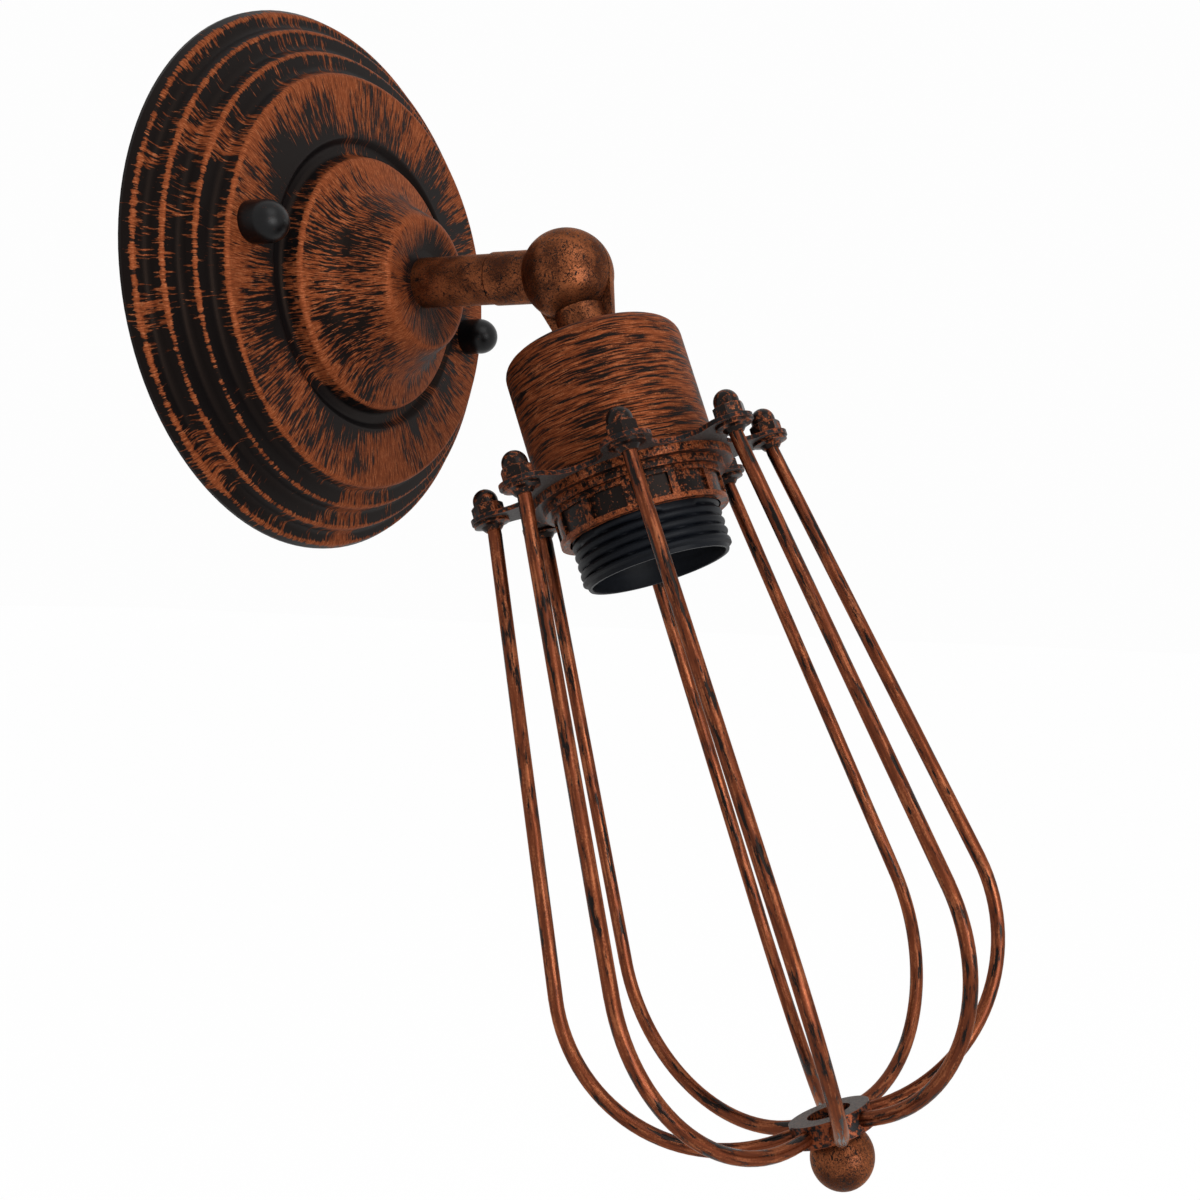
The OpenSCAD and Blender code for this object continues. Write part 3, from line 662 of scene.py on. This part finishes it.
def shell_inside(angle, along):
    """Inner radius of the brass shell: a soft round wave that winds down its threaded part."""
    turn = along / SHELL_PITCH - angle / (2 * math.pi)
    wave = 0.5 - 0.5 * math.cos(2 * math.pi * turn)
    run = ease(along, *SHELL_RUN_IN) * (1 - ease(along, *SHELL_RUN_OUT))
    return SHELL_R - SHELL_DEPTH * wave * run


def shell_profile(angle):
    """Section of the shell: down its inside, up its outside and round its foot."""
    inside = [(shell_inside(angle, along), along) for along in rows(*SHELL_ROWS)]
    outside = [(r + SHELL_SHEET, along) for r, along in reversed(inside)]
    foot = [
        (SHELL_FOOT_R, SHELL_STEP), (SHELL_FOOT_R, BLOCK_END), (SHELL_HOLE_R, BLOCK_END),
        (SHELL_HOLE_R, SHELL_FLOOR), (SHELL_FOOT_INSIDE_R, SHELL_FLOOR), (SHELL_FOOT_INSIDE_R, SHELL_STEP),
    ]
    return inside + outside + foot


# --- Floor, light and camera --------------------------------------------------------------------

# Level of the even light that comes from all round
AMBIENT = 0.22
# Level of the background and of the floor away from the lamps: near the lamps the floor is a little paler, so
# that it can keep a shadow
WHITE = 0.985
# Floor: height and half side in metres, grey level, and how much of it glows instead of being lit
FLOOR_HEIGHT = -0.42
FLOOR_HALF = 14.0
FLOOR_COLOUR = 0.86
FLOOR_GLOW_SHARE = 0.90

# Lamps, in metres and watts: place, size and power. Both point at the middle of the light.
LAMPS = {
    "key": ((-0.50, -1.10, -0.25), (0.75, 0.80), 10.0),
    "fill": ((-0.60, -1.00, 0.85), (0.9, 0.9), 5.0),
}
LAMP_TARGET = (0, -0.09, -0.08)

# Camera: its place, and its yaw, pitch and roll in degrees. Then in pixels of the photograph: the side of the
# frame, the focal length and the point that the camera looks straight at.
CAMERA_PLACE = (-316.40, -256.62, -83.62)
CAMERA_ANGLES = (69.14, 1.20, 2.05)
PHOTO_PX = 1200
FOCAL_PX = 1392.17
CENTRE_PX = (769.23, 575.45)
SENSOR_WIDTH = 36.0
CLIP_START_M = 0.01


def seen_directly(tree):
    """1 for camera, glossy and transmission rays, 0 for the rays that carry diffuse light."""
    path = tree.nodes.new("ShaderNodeLightPath")
    seen = path.outputs["Is Camera Ray"]
    for ray in ("Is Glossy Ray", "Is Transmission Ray"):
        either = tree.nodes.new("ShaderNodeMath")
        either.operation = "MAXIMUM"
        tree.links.new(seen, either.inputs[0])
        tree.links.new(path.outputs[ray], either.inputs[1])
        seen = either.outputs[0]
    return seen


def mixed(tree, factor, first, second):
    """Shader that is `first` where factor is 0, and `second` where it is 1."""
    mix = tree.nodes.new("ShaderNodeMixShader")
    for socket, source in zip(mix.inputs, (factor, first, second)):
        tree.links.new(source, socket)
    return mix.outputs[0]


def floor_material():
    """Pale floor that takes shadows, and glows so that it meets the background without a seam."""
    mat = bpy.data.materials.new("pale_floor")
    mat.use_nodes = True
    tree = mat.node_tree
    bsdf = tree.nodes["Principled BSDF"]
    bsdf.inputs["Base Color"].default_value = (FLOOR_COLOUR, FLOOR_COLOUR, FLOOR_COLOUR, 1)
    bsdf.inputs["Roughness"].default_value = 0.9
    glow = tree.nodes.new("ShaderNodeEmission")
    far_light = (1 - FLOOR_GLOW_SHARE) * FLOOR_COLOUR * AMBIENT
    glow.inputs["Strength"].default_value = (WHITE - far_light) / FLOOR_GLOW_SHARE
    share = tree.nodes.new("ShaderNodeMath")
    share.operation = "MULTIPLY"
    share.inputs[1].default_value = FLOOR_GLOW_SHARE
    tree.links.new(seen_directly(tree), share.inputs[0])
    surface = mixed(tree, share.outputs[0], bsdf.outputs[0], glow.outputs[0])
    tree.links.new(surface, tree.nodes["Material Output"].inputs["Surface"])
    return mat


def build_floor():
    mesh = bmesh.new()
    bmesh.ops.create_grid(mesh, x_segments=1, y_segments=1, size=FLOOR_HALF)
    data = bpy.data.meshes.new("floor")
    mesh.to_mesh(data)
    mesh.free()
    data.materials.append(floor_material())
    floor = bpy.data.objects.new("floor", data)
    floor.location = (0, 0, FLOOR_HEIGHT)
    bpy.context.scene.collection.objects.link(floor)


def build_world():
    """Even light all round, which the camera and reflections see as the pale background."""
    world = bpy.data.worlds.new("studio")
    world.use_nodes = True
    tree = world.node_tree
    tree.nodes.clear()
    levels = []
    for strength in (AMBIENT, WHITE):
        background = tree.nodes.new("ShaderNodeBackground")
        background.inputs["Color"].default_value = (1, 1, 1, 1)
        background.inputs["Strength"].default_value = strength
        levels.append(background.outputs[0])
    out = tree.nodes.new("ShaderNodeOutputWorld")
    tree.links.new(mixed(tree, seen_directly(tree), *levels), out.inputs["Surface"])
    bpy.context.scene.world = world


def add_lamp(name, place, size, power):
    data = bpy.data.lights.new(name, "AREA")
    data.shape = "RECTANGLE"
    data.size, data.size_y = size
    data.energy = power
    lamp = bpy.data.objects.new(name, data)
    lamp.location = place
    lamp.rotation_euler = (Vector(LAMP_TARGET) - Vector(place)).to_track_quat("-Z", "Y").to_euler()
    bpy.context.scene.collection.objects.link(lamp)


def add_camera():
    """Camera at the photograph's place, with its focal length and the middle of its lens."""
    yaw, pitch, roll = (math.radians(angle) for angle in CAMERA_ANGLES)
    ahead = Vector((math.sin(yaw) * math.cos(pitch), math.cos(yaw) * math.cos(pitch), math.sin(pitch)))
    level = ahead.cross(Vector((0, 0, 1))).normalized()
    over = level.cross(ahead)
    right = math.cos(roll) * level + math.sin(roll) * over
    up = -math.sin(roll) * level + math.cos(roll) * over
    turn = Matrix((right, up, -ahead)).transposed().to_4x4()
    data = bpy.data.cameras.new("camera")
    data.sensor_width = SENSOR_WIDTH
    data.lens = SENSOR_WIDTH * FOCAL_PX / PHOTO_PX
    data.shift_x = (PHOTO_PX / 2 - CENTRE_PX[0]) / PHOTO_PX
    data.shift_y = (CENTRE_PX[1] - PHOTO_PX / 2) / PHOTO_PX
    data.clip_start = CLIP_START_M
    cam = bpy.data.objects.new("camera", data)
    cam.matrix_world = Matrix.Translation(Vector(CAMERA_PLACE) * MM) @ turn
    bpy.context.scene.collection.objects.link(cam)
    bpy.context.scene.camera = cam


# --- Assembly -------------------------------------------------------------------------------------


def dress(material, *names):
    for name in names:
        materials = nodes[name].data.materials
        materials.clear()
        materials.append(material)


dress(plate_finish(), "wall_plate")
dress(cup_finish(), "holder_cup")
for i in range(1, WIRE_COUNT + 1):
    dress(wire_finish(i), f"cage_wire_{i}")
dress(nut_finish(), "cap_nuts", "wire_collars")
dress(cast_finish("finial_copper", HEAD), "ball_finial")
dress(ring_finish(), "shade_ring")
# The cage plate's grey underside is bare steel and in part a painted reflection of the pale surroundings
dress(bare_finish("cage_plate_two_sided", 0.44, 1.0, UNDERSIDE_STEEL_AND_SHEEN, DARK_UNDERSIDE_STEEL_AND_SHEEN), "cage_plate")
dress(bare_finish("hub_two_sided", 0.56, -1.0, HUB_STEEL, DARK_HUB_STEEL), "cage_hub")
dress(cast_finish("knuckle_arm_copper", WALL), "arm_sleeve", "knuckle_arm_half")
dress(cast_finish("knuckle_head_copper", HEAD), "knuckle_head_half")
dress(knob_finish(), "stud_knobs")
skirt = swept_round("skirt_threads", skirt_profile, "head", "lampholder_skirt")
shell = swept_round("shell_threads", shell_profile, "head", "screw_shell")
moulded = moulding_finish("lampholder_black", BLUE_BLACK, 0.42, 0.12)
dress(moulded, "lampholder_cap", "lampholder_skirt")
skirt.data.materials.append(moulded)
dress(moulding_finish("glazed_ceramic", CERAMIC, 0.2, 0.5), "contact_block")
dress(
    metal_finish("zinc_wall", ZINC, 0.30, WALL),
    "wall_bracket", "bracket_studs", "stud_locknuts", "arm_nipple", "arm_lock_washer", "arm_locknut",
)
dress(
    metal_finish("zinc_head", ZINC, 0.30, HEAD),
    "knuckle_screw", "knuckle_spring_washer", "holder_nipple", "holder_locknut", "terminal_screws",
)
dress(metal_finish("brass_wall", BRASS, 0.28, WALL), "earth_screw", "earth_washer")
brass = metal_finish("brass_head", BRASS, 0.28, HEAD)
dress(brass, "knuckle_friction_washer", "screw_shell", "centre_contact", "contact_rivet", "terminal_clamps")
shell.data.materials.append(brass)

bpy.context.scene.view_settings.view_transform = "Standard"
build_floor()
build_world()
for name, (place, size, power) in LAMPS.items():
    add_lamp(name, place, size, power)
add_camera()
